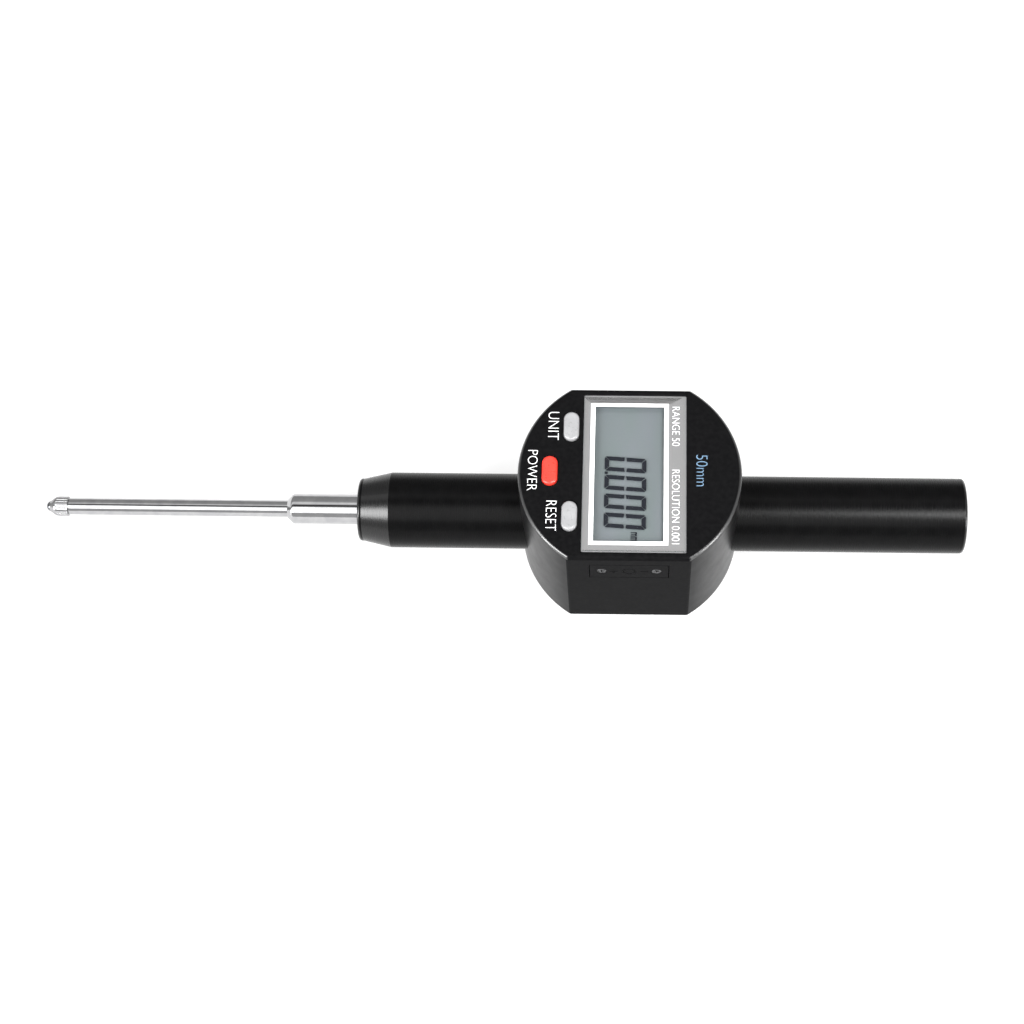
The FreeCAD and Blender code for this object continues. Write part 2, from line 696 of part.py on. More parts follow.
def contact_point():
    """Fluted collar and cone that hold the ball, with a stud into the spindle."""
    stud_end = SPINDLE_FRONT + STUD_LENGTH
    profile = [
        (CONE_FRONT, 0.0), (CONE_FRONT, CONE_R), (COLLAR_FRONT, COLLAR_R), (COLLAR_REAR, COLLAR_R),
        (COLLAR_REAR, NECK_R), (SPINDLE_FRONT, NECK_R), (SPINDLE_FRONT, STUD_R),
        (stud_end, STUD_R), (stud_end, 0.0),
    ]
    point = round_rims(turned(profile), COLLAR_BLEND, [(COLLAR_FRONT, COLLAR_R)])
    point = round_rims(point, 0.2, [(COLLAR_REAR, COLLAR_R)])
    reach = COLLAR_R + FLUTE_R - FLUTE_DEPTH
    flutes = []
    for index in range(FLUTES):
        angle = 2 * math.pi * index / FLUTES
        y, z = reach * math.cos(angle), reach * math.sin(angle)
        flutes.append(bar_x(FLUTE_R, CONE_FRONT, COLLAR_REAR + 0.3, y, z))
    return point.cut(flutes).cut(Part.makeSphere(BALL_R, V(BALL_X, 0, 0)))


def contact_ball():
    return Part.makeSphere(BALL_R, V(BALL_X, 0, 0))


def carrier_screw_places():
    return [CARRIER_FRONT + 8, CARRIER_REAR - 20]


def scale_carrier():
    block = box(CARRIER_FRONT, CARRIER_REAR, -CARRIER_HALF, CARRIER_HALF, CARRIER_BOTTOM, CARRIER_TOP)
    block = block.cut(bar_x(SPINDLE_R, CARRIER_FRONT, CARRIER_REAR))
    for x in carrier_screw_places():
        block = block.cut(bar_z(CARRIER_SCREW_R, CARRIER_BOTTOM, 0, x, 0))
    return block


def scale_strip():
    """Patterned strip that the sensor board reads."""
    return box(CARRIER_FRONT + 0.4, CARRIER_REAR - 0.6, -SCALE_HALF, SCALE_HALF,
               CARRIER_TOP, CARRIER_TOP + SCALE_THICK)


def carrier_set_screws():
    screws = [bar_z(CARRIER_SCREW_R, CARRIER_BOTTOM, -SPINDLE_R, x, 0) for x in carrier_screw_places()]
    return Part.makeCompound(screws)


def guide_fork():
    """Fork on the carrier that straddles the guide rod and stops the spindle turning."""
    rear = CARRIER_REAR - 0.6
    block = box(rear - FORK_LENGTH, rear, -FORK_HALF, FORK_HALF, FORK_BOTTOM, CARRIER_BOTTOM)
    half = GUIDE_ROD_R + GUIDE_GAP
    slot = box(rear - FORK_LENGTH - 1, rear + 1, -half, half, FORK_BOTTOM - 1, GUIDE_ROD_Z + half)
    return block.cut(slot)


def plain_parts():
    """Bushes, rings and bumpers: each a short turned piece on the axis."""
    carrier_stop = CARRIER_FRONT - 0.05
    tail_stop = SPINDLE_TAIL + TRAVEL + 0.1
    rod_ends = NOSE_WALL - ROD_SOCKET_FRONT, SPRING_SEAT + ROD_SOCKET_REAR
    wiper = STEM_LIP - STEM_LENGTH
    bush = wiper + WIPER_LENGTH + 0.3
    return {
        "stem_bush_front": ring_x(STEM_BORE_R, BUSH_BORE_R, bush, bush + BUSH_LENGTH),
        "stem_bush_rear": ring_x(STEM_BORE_R, BUSH_BORE_R, NOSE_WALL - BUSH_LENGTH, NOSE_WALL),
        "wiper_seal": ring_x(STEM_BORE_R, SPINDLE_R + 0.05, wiper, wiper + WIPER_LENGTH),
        "front_bumper": ring_x(5.0, BUMPER_R, NOSE_WALL, carrier_stop),
        "rear_bumper": bar_x(BUMPER_R, tail_stop, tail_stop + 1.0),
        "guide_rod": bar_x(GUIDE_ROD_R, *rod_ends, 0, GUIDE_ROD_Z),
    }


def all_parts():
    parts = {
        "front_case": front_case(),
        "rear_cover": rear_cover(),
        "cover_gasket": cover_gasket(),
        "cover_screws": cover_screws(),
        "display_window": display_window(),
        "label_film": label_film(),
        "lcd_polariser": lcd_polariser(),
        "lcd_front_glass": lcd_front_glass(),
        "lcd_rear_glass": lcd_rear_glass(),
        "lcd_reflector": lcd_reflector(),
        "lcd_frame": lcd_frame(),
        "zebra_strip": zebra_strip(),
        "main_pcb": main_pcb(),
        "pcb_components": pcb_components(),
        "pcb_screws": pcb_screws(),
        "reader_pcb": reader_pcb(),
        "reader_bracket": reader_bracket(),
        "ribbon_cable": ribbon_cable(),
        "key_domes": key_domes(),
        "keypad_seal": keypad_seal(),
        "battery_cell": battery_cell(),
        "battery_holder": battery_holder(),
        "battery_contact_positive": battery_contact_positive(),
        "battery_contact_negative": battery_contact_negative(),
        "battery_door": battery_door(),
        "door_gasket": door_gasket(),
        "door_screws": door_screws(),
        "front_sleeve": front_sleeve(),
        "rear_tube": rear_tube(),
        "tube_o_rings": tube_o_rings(),
        "tube_set_screws": tube_set_screws(),
        "stem": stem(),
        "rear_plug": rear_plug(),
        "return_spring": return_spring(),
        "spindle": spindle(),
        "contact_point": contact_point(),
        "contact_ball": contact_ball(),
        "scale_carrier": scale_carrier(),
        "scale_strip": scale_strip(),
        "carrier_set_screws": carrier_set_screws(),
        "guide_fork": guide_fork(),
    }
    parts.update({name: key(name) for name in KEYS})
    parts.update(plain_parts())
    return parts


def main():
    os.makedirs("parts", exist_ok=True)
    for name, shape in all_parts().items():
        valid = shape.isValid()
        print(f"{name}: {len(shape.Solids)} solid(s), {shape.Volume:.1f} mm3, valid {valid}")
        shape.exportStep(f"parts/{name}.step")


main()
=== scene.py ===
"""Looks of an electronic plunger indicator lying on the back of its case. Metres, row frame."""

import json
import math

import bmesh
import bpy
from mathutils import Matrix, Vector


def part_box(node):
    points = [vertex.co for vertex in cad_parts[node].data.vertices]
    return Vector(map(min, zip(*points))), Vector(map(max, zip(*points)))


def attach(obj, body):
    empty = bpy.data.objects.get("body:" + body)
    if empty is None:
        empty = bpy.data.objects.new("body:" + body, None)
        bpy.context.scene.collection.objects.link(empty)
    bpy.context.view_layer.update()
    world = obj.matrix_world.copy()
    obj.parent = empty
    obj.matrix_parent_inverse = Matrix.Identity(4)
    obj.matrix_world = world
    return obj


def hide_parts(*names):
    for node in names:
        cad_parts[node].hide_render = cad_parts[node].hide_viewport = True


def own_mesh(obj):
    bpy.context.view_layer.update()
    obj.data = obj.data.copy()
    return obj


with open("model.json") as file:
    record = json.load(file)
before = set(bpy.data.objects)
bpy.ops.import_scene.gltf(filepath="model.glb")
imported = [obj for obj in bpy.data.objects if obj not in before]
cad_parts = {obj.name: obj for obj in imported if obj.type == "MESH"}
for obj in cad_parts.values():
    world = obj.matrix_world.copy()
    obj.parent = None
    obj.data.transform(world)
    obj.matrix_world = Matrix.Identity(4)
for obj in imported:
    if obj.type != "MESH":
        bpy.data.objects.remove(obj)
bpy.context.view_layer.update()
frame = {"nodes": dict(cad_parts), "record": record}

MM = 0.001

# ---------------------------------------------------------------- places, from the frame

case_low, case_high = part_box("front_case")
film_low, film_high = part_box("label_film")
lcd_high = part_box("lcd_polariser")[1]

CASE_X = (case_low.x + case_high.x) / 2
FACE_Z = case_high.z
FLOOR_Z = case_low.z

# Printed areas, in mm from the centre of the case: x0, x1, y0, y1
BORDER_OUTER = (-10.30, 9.92, -20.24, 20.20)
BORDER_INNER = (-9.15, 8.75, -19.20, 19.20)
BORDER_CORNER = 0.1
FILM_CORNER = 0.4
PRINT_THICK = 0.02 * MM
LABEL_PRINT_LIFT = 0.01 * MM

# Growth of the letters' outlines, as a share of the font's size; below 0 they are thinner
FACE_WEIGHT = -0.022
LABEL_WEIGHT = -0.020
TRAVEL_WEIGHT = -0.018
LCD_WEIGHT = 0.02
TEXT_EXTRUDE = 0.02

# Display figures, in mm
DIGITS = 4
DIGIT_PITCH = 5.34
DIGIT_START = 5.45
DIGIT_WIDTH = 4.15
DIGIT_HEIGHT = 10.75
DIGIT_BASE = -6.5
STROKE = 1.12
SEGMENT_GAP = 0.13
CORNER_CUT = 0.3
POINT_GAP = 0.25
POINT_WIDTH = 0.74
POINT_HEIGHT = 0.82
POINT_CUT = 0.12
SLANT = math.tan(math.radians(4.0))
SEGMENT_LIFT = 0.4

# Return spring
SPRING_TURNS = 30
SPRING_WIRE = 0.25 * MM
SPRING_STEPS = 28
SPRING_SIDES = 10


def at_case(x, y, z):
    """A point given in mm from the centre of the case, at a height in metres."""
    return Vector((CASE_X + x * MM, y * MM, z))


# ---------------------------------------------------------------- material helpers

def new_material(name, colour, roughness, metallic=0.0, specular=0.5):
    """A principled material with its constants on the shader's own sockets."""
    material = bpy.data.materials.new(name)
    material.use_nodes = True
    shader = material.node_tree.nodes["Principled BSDF"]
    shader.inputs["Base Color"].default_value = (*colour, 1.0)
    shader.inputs["Roughness"].default_value = roughness
    shader.inputs["Metallic"].default_value = metallic
    shader.inputs["Specular IOR Level"].default_value = specular
    return material


def shader_of(material):
    return material.node_tree.nodes["Principled BSDF"]


def noise(material, scale, stretch=(1, 1, 1), detail=3.0):
    """Noise over the object's own coordinates; scale is in cycles per metre."""
    nodes, links = material.node_tree.nodes, material.node_tree.links
    where = nodes.new("ShaderNodeTexCoord")
    mapping = nodes.new("ShaderNodeMapping")
    mapping.inputs["Scale"].default_value = stretch
    texture = nodes.new("ShaderNodeTexNoise")
    texture.inputs["Scale"].default_value = scale
    texture.inputs["Detail"].default_value = detail
    links.new(where.outputs["Object"], mapping.inputs["Vector"])
    links.new(mapping.outputs["Vector"], texture.inputs["Vector"])
    return texture.outputs["Fac"]


def vary_colour(material, factor, dark, light):
    """Base colour that drifts between two shades."""
    nodes, links = material.node_tree.nodes, material.node_tree.links
    ramp = nodes.new("ShaderNodeValToRGB")
    ramp.color_ramp.elements[0].position = 0.35
    ramp.color_ramp.elements[1].position = 0.65
    ramp.color_ramp.elements[0].color = (*dark, 1.0)
    ramp.color_ramp.elements[1].color = (*light, 1.0)
    links.new(factor, ramp.inputs["Fac"])
    links.new(ramp.outputs["Color"], shader_of(material).inputs["Base Color"])


def spread(material, factor, given, wanted):
    """A value moved from one range (low, high) to another, and held inside it."""
    nodes, links = material.node_tree.nodes, material.node_tree.links
    change = nodes.new("ShaderNodeMapRange")
    change.inputs["From Min"].default_value, change.inputs["From Max"].default_value = given
    change.inputs["To Min"].default_value, change.inputs["To Max"].default_value = wanted
    links.new(factor, change.inputs["Value"])
    return change.outputs["Result"]


def vary_roughness(material, factor, low, high):
    """Roughness that drifts between two values."""
    drift = spread(material, factor, (0.3, 0.7), (low, high))
    material.node_tree.links.new(drift, shader_of(material).inputs["Roughness"])


def add_bump(material, factor, depth, strength=1.0):
    """Relief from a factor; depth is in metres."""
    nodes, links = material.node_tree.nodes, material.node_tree.links
    bump = nodes.new("ShaderNodeBump")
    bump.inputs["Strength"].default_value = strength
    bump.inputs["Distance"].default_value = depth
    links.new(factor, bump.inputs["Height"])
    links.new(bump.outputs["Normal"], shader_of(material).inputs["Normal"])


def height_mask(material, places):
    """1 where the upright part of the normal lies between the middle two places, 0 outside all four."""
    nodes, links = material.node_tree.nodes, material.node_tree.links
    geometry = nodes.new("ShaderNodeNewGeometry")
    split = nodes.new("ShaderNodeSeparateXYZ")
    ramp = nodes.new("ShaderNodeValToRGB")
    for _ in range(2):
        ramp.color_ramp.elements.new(0.5)
    for element, place, level in zip(ramp.color_ramp.elements, places, (0.0, 1.0, 1.0, 0.0)):
        element.position = place
        element.color = (level, level, level, 1.0)
    size = nodes.new("ShaderNodeMath")
    size.operation = "ABSOLUTE"
    links.new(geometry.outputs["Normal"], split.inputs["Vector"])
    links.new(split.outputs["Z"], size.inputs[0])
    links.new(size.outputs["Value"], ramp.inputs["Fac"])
    return ramp.outputs["Color"]


def normal_part(material, axis):
    """One part of the surface normal, without its sign."""
    nodes, links = material.node_tree.nodes, material.node_tree.links
    geometry = nodes.new("ShaderNodeNewGeometry")
    split = nodes.new("ShaderNodeSeparateXYZ")
    size = nodes.new("ShaderNodeMath")
    size.operation = "ABSOLUTE"
    links.new(geometry.outputs["Normal"], split.inputs["Vector"])
    links.new(split.outputs[axis], size.inputs[0])
    return size.outputs["Value"]


# ---------------------------------------------------------------- materials

def painted_case(name):
    """Satin black finish with an even texture, and painted sheen: the specular level rises by the
    direction the surface faces, on the curved walls and most on the rounded edge, for highlights the
    lamps alone don't give.
    """
    material = new_material(name, (0.0045, 0.0045, 0.0048), 0.32, specular=0.01)
    vary_colour(material, noise(material, 900), (0.0038, 0.0038, 0.0041), (0.0054, 0.0054, 0.0057))
    vary_roughness(material, noise(material, 260), 0.29, 0.35)
    add_bump(material, noise(material, 5200, detail=2.0), 0.004 * MM, 0.3)
    nodes, links = material.node_tree.nodes, material.node_tree.links
    # Painted sheen and highlight: specular level taken from the normal, higher on walls facing sideways
    # and highest on the sloped rim.
    across = normal_part(material, "X")
    wall_painted_sheen = spread(material, across, (0.5, 1.0), (0.01, 0.22))
    sideways = spread(material, across, (0.12, 0.35), (0.0, 1.0))
    rim_painted_highlight = nodes.new("ShaderNodeMath")
    rim_painted_highlight.operation = "MULTIPLY"
    painted_sheen = nodes.new("ShaderNodeMath")
    painted_sheen.operation = "MAXIMUM"
    links.new(height_mask(material, (0.10, 0.35, 0.85, 0.97)), rim_painted_highlight.inputs[0])
    links.new(sideways, rim_painted_highlight.inputs[1])
    links.new(wall_painted_sheen, painted_sheen.inputs[0])
    links.new(rim_painted_highlight.outputs["Value"], painted_sheen.inputs[1])
    links.new(painted_sheen.outputs["Value"], shader_of(material).inputs["Specular IOR Level"])
    return material


def anodised_tube():
    """Black anodised aluminium with the rings left by the lathe; its specular level rises where the
    surface faces along the tube, as on the front taper.
    """
    material = new_material("tube_black", (0.0014, 0.0014, 0.0015), 0.3, specular=0.09)
    rings = noise(material, 1.0, stretch=(4200, 40, 40), detail=4.0)
    vary_colour(material, noise(material, 300), (0.0010, 0.0010, 0.0011), (0.0018, 0.0018, 0.0019))
    vary_roughness(material, rings, 0.25, 0.30)
    add_bump(material, rings, 0.002 * MM, 0.25)
    taper = spread(material, normal_part(material, "X"), (0.12, 0.2), (0.09, 0.45))
    material.node_tree.links.new(taper, shader_of(material).inputs["Specular IOR Level"])
    return material


def polished_steel():
    """Ground and polished bar, with very fine rings around it."""
    material = new_material("polished_steel", (0.45, 0.45, 0.46), 0.12, metallic=1.0)
    rings = noise(material, 1.0, stretch=(9000, 60, 60), detail=3.0)
    vary_colour(material, noise(material, 400), (0.42, 0.42, 0.43), (0.48, 0.48, 0.485))
    vary_roughness(material, rings, 0.05, 0.10)
    add_bump(material, rings, 0.0004 * MM, 0.3)
    return material


def ground_steel():
    """Dull ground steel of the fluted contact point."""
    material = new_material("ground_steel", (0.36, 0.36, 0.365), 0.21, metallic=1.0)
    vary_colour(material, noise(material, 1800), (0.33, 0.33, 0.335), (0.39, 0.39, 0.395))
    vary_roughness(material, noise(material, 3500), 0.17, 0.25)
    return material


def bright_screw():
    material = new_material("screw_steel", (0.66, 0.66, 0.67), 0.25, metallic=1.0)
    vary_colour(material, noise(material, 1500), (0.60, 0.60, 0.61), (0.70, 0.70, 0.71))
    vary_roughness(material, noise(material, 3000), 0.2, 0.34)
    return material


def black_screw_painted_glints():
    """Blackened steel with random lighter patches, which are painted glints."""
    material = new_material("screw_black", (0.012, 0.012, 0.0125), 0.3, specular=0.04)
    # Painted glints: the light end of this colour drift stands in for glints on the screws.
    vary_colour(material, noise(material, 2500), (0.006, 0.006, 0.006), (0.085, 0.085, 0.088))
    vary_roughness(material, noise(material, 3000), 0.18, 0.34)
    return material


def carbide_ball():
    material = new_material("ball_carbide", (0.15, 0.155, 0.165), 0.08, metallic=1.0)
    vary_colour(material, noise(material, 2500), (0.13, 0.135, 0.145), (0.17, 0.175, 0.185))
    vary_roughness(material, noise(material, 4000), 0.06, 0.12)
    return material


def clear_window():
    """Clear moulded acrylic, with a painted highlight on its bevel: the bevel is made more opaque, so its
    pale base colour shows as bright edge lines.
    """
    material = new_material("window_clear", (0.30, 0.31, 0.32), 0.06, specular=0.2)
    bevel = height_mask(material, (0.2, 0.5, 0.85, 0.97))
    # Painted highlight: opacity follows the bevel's normal, drawing bright lines round the window.
    bevel_painted_highlight = spread(material, bevel, (0.0, 1.0), (0.015, 0.22))
    material.node_tree.links.new(bevel_painted_highlight, shader_of(material).inputs["Alpha"])
    vary_roughness(material, noise(material, 700), 0.04, 0.09)
    return material


def silver_label():
    """Silver ink printed behind the window."""
    material = new_material("label_silver", (0.162, 0.162, 0.162), 0.5, specular=0.3)
    vary_colour(material, noise(material, 6000, detail=4.0), (0.150, 0.150, 0.150), (0.174, 0.174, 0.174))
    vary_roughness(material, noise(material, 900), 0.42, 0.55)
    return material


def white_print():
    material = new_material("print_white", (0.92, 0.92, 0.92), 0.55)
    vary_colour(material, noise(material, 4000), (0.89, 0.89, 0.89), (0.94, 0.94, 0.94))
    return material


def pale_blue_print():
    material = new_material("print_blue", (0.14, 0.24, 0.36), 0.55)
    vary_colour(material, noise(material, 4000), (0.12, 0.22, 0.33), (0.16, 0.26, 0.38))
    return material


def lcd_film():
    """Grey-green film of the display with faint streaks."""
    material = new_material("lcd_grey", (0.103, 0.120, 0.125), 0.35)
    streaks = noise(material, 1.0, stretch=(160, 45, 1), detail=1.0)
    vary_colour(material, streaks, (0.097, 0.118, 0.119), (0.106, 0.121, 0.130))
    vary_roughness(material, noise(material, 2500), 0.3, 0.4)
    return material


def lcd_ink():
    material = new_material("lcd_ink", (0.003, 0.004, 0.007), 0.5, specular=0.05)
    vary_colour(material, noise(material, 2200), (0.002, 0.003, 0.006), (0.004, 0.005, 0.009))
    return material


def key_plastic(name, dark, light):
    """Glossy moulded key."""
    material = new_material(name, light, 0.3, specular=0.5)
    vary_colour(material, noise(material, 350), dark, light)
    vary_roughness(material, noise(material, 1200), 0.25, 0.36)
    add_bump(material, noise(material, 3500), 0.0012 * MM, 0.1)
    return material


def black_rubber():
    material = new_material("seal_rubber", (0.02, 0.02, 0.02), 0.75)
    vary_colour(material, noise(material, 1500), (0.015, 0.015, 0.015), (0.028, 0.028, 0.028))
    add_bump(material, noise(material, 5000), 0.01 * MM, 0.5)
    return material


def moulded_plastic(name, dark, light):
    material = new_material(name, light, 0.5)
    vary_colour(material, noise(material, 600), dark, light)
    add_bump(material, noise(material, 4000), 0.006 * MM, 0.4)
    return material


def circuit_board():
    """Green solder mask with the relief of copper tracks."""
    material = new_material("board_green", (0.02, 0.12, 0.05), 0.35)
    nodes, links = material.node_tree.nodes, material.node_tree.links
    where = nodes.new("ShaderNodeTexCoord")
    tracks = nodes.new("ShaderNodeTexBrick")
    tracks.inputs["Scale"].default_value = 260
    tracks.inputs["Mortar Size"].default_value = 0.03
    tracks.inputs["Color1"].default_value = (0.016, 0.10, 0.042, 1)
    tracks.inputs["Color2"].default_value = (0.020, 0.12, 0.050, 1)
    tracks.inputs["Mortar"].default_value = (0.035, 0.20, 0.080, 1)
    links.new(where.outputs["Object"], tracks.inputs["Vector"])
    links.new(tracks.outputs["Color"], shader_of(material).inputs["Base Color"])
    add_bump(material, tracks.outputs["Fac"], 0.02 * MM, 0.6)
    return material


def plain_metal(name, dark, light, roughness):
    material = new_material(name, light, roughness, metallic=1.0)
    vary_colour(material, noise(material, 800), dark, light)
    grain = noise(material, 1.0, stretch=(300, 3000, 3000))
    vary_roughness(material, grain, roughness - 0.06, roughness + 0.08)
    return material


def clear_glass():
    material = new_material("lcd_glass", (0.78, 0.86, 0.83), 0.05)
    shader_of(material).inputs["Alpha"].default_value = 0.3
    vary_roughness(material, noise(material, 900), 0.03, 0.07)
    return material


def zebra_rubber():
    """Fine black and white stripes across the strip."""
    material = new_material("zebra_rubber", (0.3, 0.3, 0.3), 0.6)
    nodes, links = material.node_tree.nodes, material.node_tree.links
    where = nodes.new("ShaderNodeTexCoord")
    wave = nodes.new("ShaderNodeTexWave")
    wave.bands_direction = "Y"
    wave.inputs["Scale"].default_value = 1600
    links.new(where.outputs["Object"], wave.inputs["Vector"])
    vary_colour(material, wave.outputs["Fac"], (0.02, 0.02, 0.02), (0.6, 0.6, 0.6))
    return material


def make_materials():
    grey = ((0.235, 0.235, 0.24), (0.265, 0.265, 0.27))
    red = ((0.60, 0.030, 0.018), (0.66, 0.036, 0.022))
    return {
        "case_black": painted_case("case_black"),
        "cover_black": painted_case("cover_black"),
        "tube_black": anodised_tube(),
        "window_clear": clear_window(),
        "label_silver": silver_label(),
        "lcd_glass": clear_glass(),
        "lcd_grey": lcd_film(),
        "frame_plastic": moulded_plastic("frame_plastic", (0.02, 0.02, 0.02), (0.03, 0.03, 0.03)),
        "zebra_rubber": zebra_rubber(),
        "board_green": circuit_board(),
        "chip_black": moulded_plastic("chip_black", (0.015, 0.015, 0.015), (0.03, 0.03, 0.03)),
        "key_grey": key_plastic("key_grey", *grey),
        "key_red": key_plastic("key_red", *red),
        "seal_rubber": black_rubber(),
        "spring_steel": plain_metal("spring_steel", (0.50, 0.50, 0.51), (0.60, 0.60, 0.61), 0.3),
        "polished_steel": polished_steel(),
        "screw_steel": bright_screw(),
        "screw_black": black_screw_painted_glints(),
        "ball_carbide": carbide_ball(),
        "bush_bronze": plain_metal("bush_bronze", (0.50, 0.34, 0.15), (0.62, 0.44, 0.20), 0.3),
        "plain_aluminium": plain_metal("plain_aluminium", (0.62, 0.63, 0.64), (0.72, 0.73, 0.74), 0.35),
        "plain_plastic": moulded_plastic("plain_plastic", (0.03, 0.03, 0.03), (0.05, 0.05, 0.05)),
        "cell_steel": plain_metal("cell_steel", (0.66, 0.66, 0.65), (0.74, 0.74, 0.73), 0.2),
        "contact_brass": plain_metal("contact_brass", (0.62, 0.48, 0.22), (0.72, 0.58, 0.28), 0.25),
        "film_amber": moulded_plastic("film_amber", (0.40, 0.18, 0.03), (0.50, 0.24, 0.05)),
    }


# ---------------------------------------------------------------- pieces

def mesh_piece(name, mesh, material, body):
    piece = bpy.data.objects.new(name, mesh)
    bpy.context.scene.collection.objects.link(piece)
    mesh.materials.clear()
    mesh.materials.append(material)
    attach(piece, body)
    return piece


def slab(mesh_maker, outline, z, thickness):
    """Adds a closed slab over a flat outline of (x, y) points to a bmesh."""
    low = [mesh_maker.verts.new((x, y, z)) for x, y in outline]
    high = [mesh_maker.verts.new((x, y, z + thickness)) for x, y in outline]
    mesh_maker.faces.new(list(reversed(low)))
    mesh_maker.faces.new(high)
    count = len(outline)
    for index in range(count):
        after = (index + 1) % count
        mesh_maker.faces.new((low[index], low[after], high[after], high[index]))


def finished(mesh_maker, name):
    bmesh.ops.recalc_face_normals(mesh_maker, faces=mesh_maker.faces)
    mesh = bpy.data.meshes.new(name)
    mesh_maker.to_mesh(mesh)
    mesh_maker.free()
    return mesh


def rounded_outline(area, radius, steps=6):
    """Points round a rectangle x0, x1, y0, y1 with rounded corners."""
    x0, x1, y0, y1 = area
    corners = ((x1 - radius, y1 - radius, 0), (x0 + radius, y1 - radius, 90),
               (x0 + radius, y0 + radius, 180), (x1 - radius, y0 + radius, 270))
    points = []
    for x, y, start in corners:
        for step in range(steps + 1):
            angle = math.radians(start + 90 * step / steps)
            points.append((x + radius * math.cos(angle), y + radius * math.sin(angle)))
    return points


def flat_ring(name, outer, inner, low, high, material):
    """Closed flat ring between two outlines with as many points each, in mm from the case centre."""
    maker = bmesh.new()
    loops = [[maker.verts.new(at_case(x, y, z)) for x, y in outline]
             for z in (low, high) for outline in (outer, inner)]
    low_outer, low_inner, high_outer, high_inner = loops
    sides = ((low_outer, low_inner), (high_outer, high_inner),
             (low_outer, high_outer), (low_inner, high_inner))
    for a, b in sides:
        for index in range(len(outer)):
            after = (index + 1) % len(outer)
            maker.faces.new((a[index], a[after], b[after], b[index]))
    return mesh_piece(name, finished(maker, name), material, "housing")


def label_layers(silver, white):
    """Silver film that fills the pocket, and the white frame printed on it round the display."""
    x0, x1 = ((edge - CASE_X) / MM for edge in (film_low.x, film_high.x))
    film_area = (x0, x1, film_low.y / MM, film_high.y / MM)
    edge_line = rounded_outline(film_area, FILM_CORNER)
    opening = rounded_outline(BORDER_INNER, BORDER_CORNER)
    film = flat_ring("label_sheet", edge_line, opening, film_low.z, film_high.z, silver)
    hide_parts("label_film")
    border = rounded_outline(BORDER_OUTER, BORDER_CORNER)
    flat_ring("label_border", border, opening, film_high.z, film_high.z + PRINT_THICK, white)


def segment_outlines():
    """The six lit bars of a nought, in text space: u to the right, v up."""
    w, h, s, g = DIGIT_WIDTH, DIGIT_HEIGHT, STROKE, SEGMENT_GAP
    mid = h / 2
    cut = CORNER_CUT * s
    foot = [(cut + g, 0.0), (w - cut - g, 0.0), (w - cut / 2 - g, cut / 2),
            (w - s - g / 2, s), (s + g / 2, s), (cut / 2 + g, cut / 2)]
    side = [(0.0, cut + g), (0.0, mid - 1.5 * g), (s, mid - 2.6 * g), (s, s + g),
            (cut / 2, cut / 2 + g)]

    def flip_u(points):
        return [(w - u, v) for u, v in points]

    def flip_v(points):
        return [(u, h - v) for u, v in points]

    return [foot, flip_v(foot), side, flip_u(side), flip_v(side), flip_v(flip_u(side))]


def from_text(u, v, start):
    """Text runs along -Y with its tops towards +X, and leans a little."""
    along = start - (u + SLANT * v)
    point = at_case(DIGIT_BASE + v, along, 0)
    return point.x, point.y


def lcd_figures(material):
    """Four noughts and a decimal point, floating over the film of the display."""
    maker = bmesh.new()
    z = lcd_high.z + SEGMENT_LIFT * MM
    for digit in range(DIGITS):
        start = DIGIT_START - digit * DIGIT_PITCH
        for outline in segment_outlines():
            slab(maker, [from_text(u, v, start) for u, v in outline], z, PRINT_THICK)
    point_start = DIGIT_START - DIGIT_WIDTH - POINT_GAP
    wide, tall, cut = POINT_WIDTH, POINT_HEIGHT, POINT_CUT
    point = [(cut, 0.0), (wide - cut, 0.0), (wide, cut), (wide, tall - cut),
             (wide - cut, tall), (cut, tall), (0.0, tall - cut), (0.0, cut)]
    slab(maker, [from_text(u, v, point_start) for u, v in point], z, PRINT_THICK)
    mesh_piece("lcd_figures", finished(maker, "lcd_figures"), material, "housing")


def printed_text(name, text, centre, size, z, material, weight=0.0):
    """Text that fills size = (height of the letters along X, length along Y), in mm."""
    curve = bpy.data.curves.new(name, "FONT")
    curve.body = text
    curve.offset = weight
    curve.extrude = TEXT_EXTRUDE
    curve.resolution_u = 4
    source = bpy.data.objects.new(name + "_curve", curve)
    bpy.context.scene.collection.objects.link(source)
    bpy.context.view_layer.update()
    mesh = bpy.data.meshes.new_from_object(source.evaluated_get(bpy.context.evaluated_depsgraph_get()))
    bpy.data.objects.remove(source)
    low = Vector([min(v.co[i] for v in mesh.vertices) for i in range(3)])
    high = Vector([max(v.co[i] for v in mesh.vertices) for i in range(3)])
    middle, span = (low + high) / 2, high - low
    height, length = size
    place = at_case(centre[0], centre[1], z)
    for vertex in mesh.vertices:
        u = (vertex.co.x - middle.x) / span.x * length * MM
        v = (vertex.co.y - middle.y) / span.y * height * MM
        w = (vertex.co.z - low.z) / span.z * PRINT_THICK
        vertex.co = Vector((place.x + v, place.y - u, place.z + w))
    mesh.name = name
    maker = bmesh.new()
    maker.from_mesh(mesh)
    bmesh.ops.remove_doubles(maker, verts=maker.verts, dist=0.001 * MM)
    bmesh.ops.recalc_face_normals(maker, faces=maker.faces)
    maker.to_mesh(mesh)
    maker.free()
    return mesh_piece(name, mesh, material, "housing")


